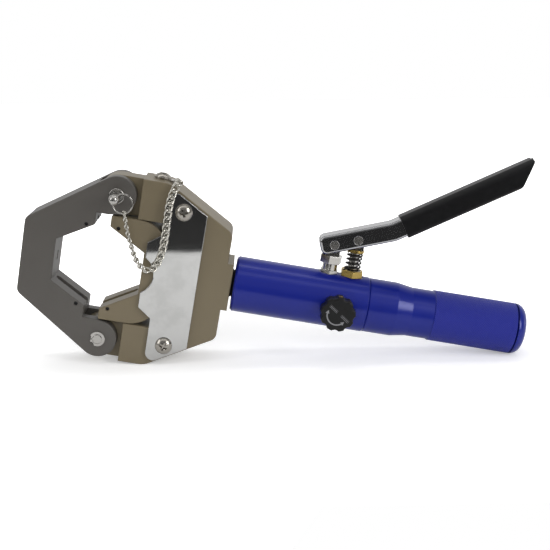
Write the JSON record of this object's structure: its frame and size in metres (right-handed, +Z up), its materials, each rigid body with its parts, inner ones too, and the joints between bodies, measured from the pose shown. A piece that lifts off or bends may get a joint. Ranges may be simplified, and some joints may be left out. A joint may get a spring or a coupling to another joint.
{
  "type": "hydraulic hose crimping pliers",
  "caption": "Hand-held hydraulic hose crimper: hinged hexagonal die head with a chained quick-release pin, sliding ram, pump lever and release knob on a tubular oil handle.",
  "frame": {"origin": "under the middle of the tool's box, on the surface it stands on", "axes": "+X towards the end of the handle, +Y away from the knob side, +Z up, the tool standing on its head's lower corner and its end cap"},
  "size_m": [0.3918, 0.0638, 0.1538],
  "materials": {
    "yoke_grey": "satin dark grey anodised",
    "body_bronze": "hard anodised bronze",
    "plate_polish": "mirror polished",
    "screw_steel": "zinc plated",
    "pin_steel": "bright turned",
    "chain_nickel": "nickel plated",
    "neck_black": "black oxide",
    "tube_blue": "blue anodised",
    "post_chrome": "chromed steel",
    "lever_chrome": "chromed pressed steel",
    "grip_black": "dipped vinyl",
    "brass": "turned",
    "spring_black": "black oxide",
    "inner_steel": "ground",
    "seal_rubber": "moulded",
    "knob_plastic": "moulded"
  },
  "bodies": {
    "head": {"head_body": "body_bronze", "front_guide_plate": "plate_polish", "rear_guide_plate": "plate_polish", "guide_plate_screws": "screw_steel", "hinge_pin": "pin_steel", "hinge_retaining_rings": "pin_steel", "chain_eyelet": "screw_steel", "chain_anchor_screw": "screw_steel", "pin_chain": "chain_nickel"},
    "yoke": {"yoke": "yoke_grey", "yoke_die_pins": "neck_black"},
    "release_pin": {"quick_release_pin": "pin_steel", "pin_ring": "pin_steel"},
    "ram": {"ram_block": "body_bronze", "ram_die_pins": "neck_black", "ram_rod": "inner_steel", "piston": "inner_steel", "piston_seal": "seal_rubber", "piston_nut": "inner_steel"},
    "handle": {"threaded_neck": "neck_black", "pump_body": "tube_blue", "return_spring": "spring_black", "fulcrum_post": "post_chrome", "gland_nut": "brass", "plunger_seal": "seal_rubber", "plunger_spring": "spring_black", "outlet_check_ball": "inner_steel", "outlet_check_spring": "spring_black", "outlet_valve_plug": "inner_steel", "inlet_check_ball": "inner_steel", "inlet_check_spring": "spring_black", "inlet_valve_plug": "inner_steel", "relief_ball": "inner_steel", "relief_spring": "spring_black", "relief_screw": "inner_steel", "reservoir_handle": "tube_blue", "reservoir_seal": "seal_rubber", "oil_bladder": "seal_rubber", "end_cap": "tube_blue", "end_cap_seal": "seal_rubber", "release_stem_seal": "seal_rubber"},
    "lever": {"lever_channel": "lever_chrome", "lever_grip": "grip_black", "fulcrum_pin": "pin_steel", "plunger_pin": "pin_steel"},
    "plunger": {"plunger": "post_chrome", "spring_collar": "brass"},
    "release_knob": {"release_knob": "knob_plastic", "knob_grub_screw": "brass", "release_stem": "inner_steel"}
  },
  "joints": [
    {"name": "yoke_swing", "type": "hinge", "parent": "head", "child": "yoke", "pos_m": [-0.13732, 0.00782, 0.02143], "axis": [0, -1, 0], "range_deg": [0, 95]},
    {"name": "pin_pull", "type": "slide", "parent": "head", "child": "release_pin", "axis": [0, -1, 0], "range_m": [0, 0.0405], "deforming": ["pin_chain"]},
    {"name": "ram_slide", "type": "slide", "parent": "head", "child": "ram", "axis": [-0.9837, 0, 0.1797], "range_m": [0, 0.0102], "stiffness_N_per_m": 8600, "springref_m": -0.012, "deforming": ["return_spring"]},
    {"name": "head_swivel", "type": "hinge", "parent": "head", "child": "handle", "pos_m": [-0.03475, 0.00782, 0.05982], "axis": [0.9837, 0, -0.1797], "range_deg": [-90, 90]},
    {"name": "lever_pump", "type": "hinge", "parent": "handle", "child": "lever", "pos_m": [0.04515, 0.00782, 0.08985], "axis": [0, 1, 0], "range_deg": [0, 22], "stiffness_Nm_per_rad": 4.3, "springref_deg": -22.92},
    {"name": "plunger_stroke", "type": "slide", "parent": "handle", "child": "plunger", "axis": [-0.1797, 0, -0.9837], "range_m": [0, 0.0069], "deforming": ["plunger_spring"]},
    {"name": "release_turn", "type": "hinge", "parent": "handle", "child": "release_knob", "pos_m": [0.04605, -0.01478, 0.04191], "axis": [0, 1, 0], "range_deg": [0, 180]}
  ],
  "couplings": [
    {"joint": "plunger_stroke", "follows": "lever_pump", "m_per_rad": 0.017922}
  ]
}
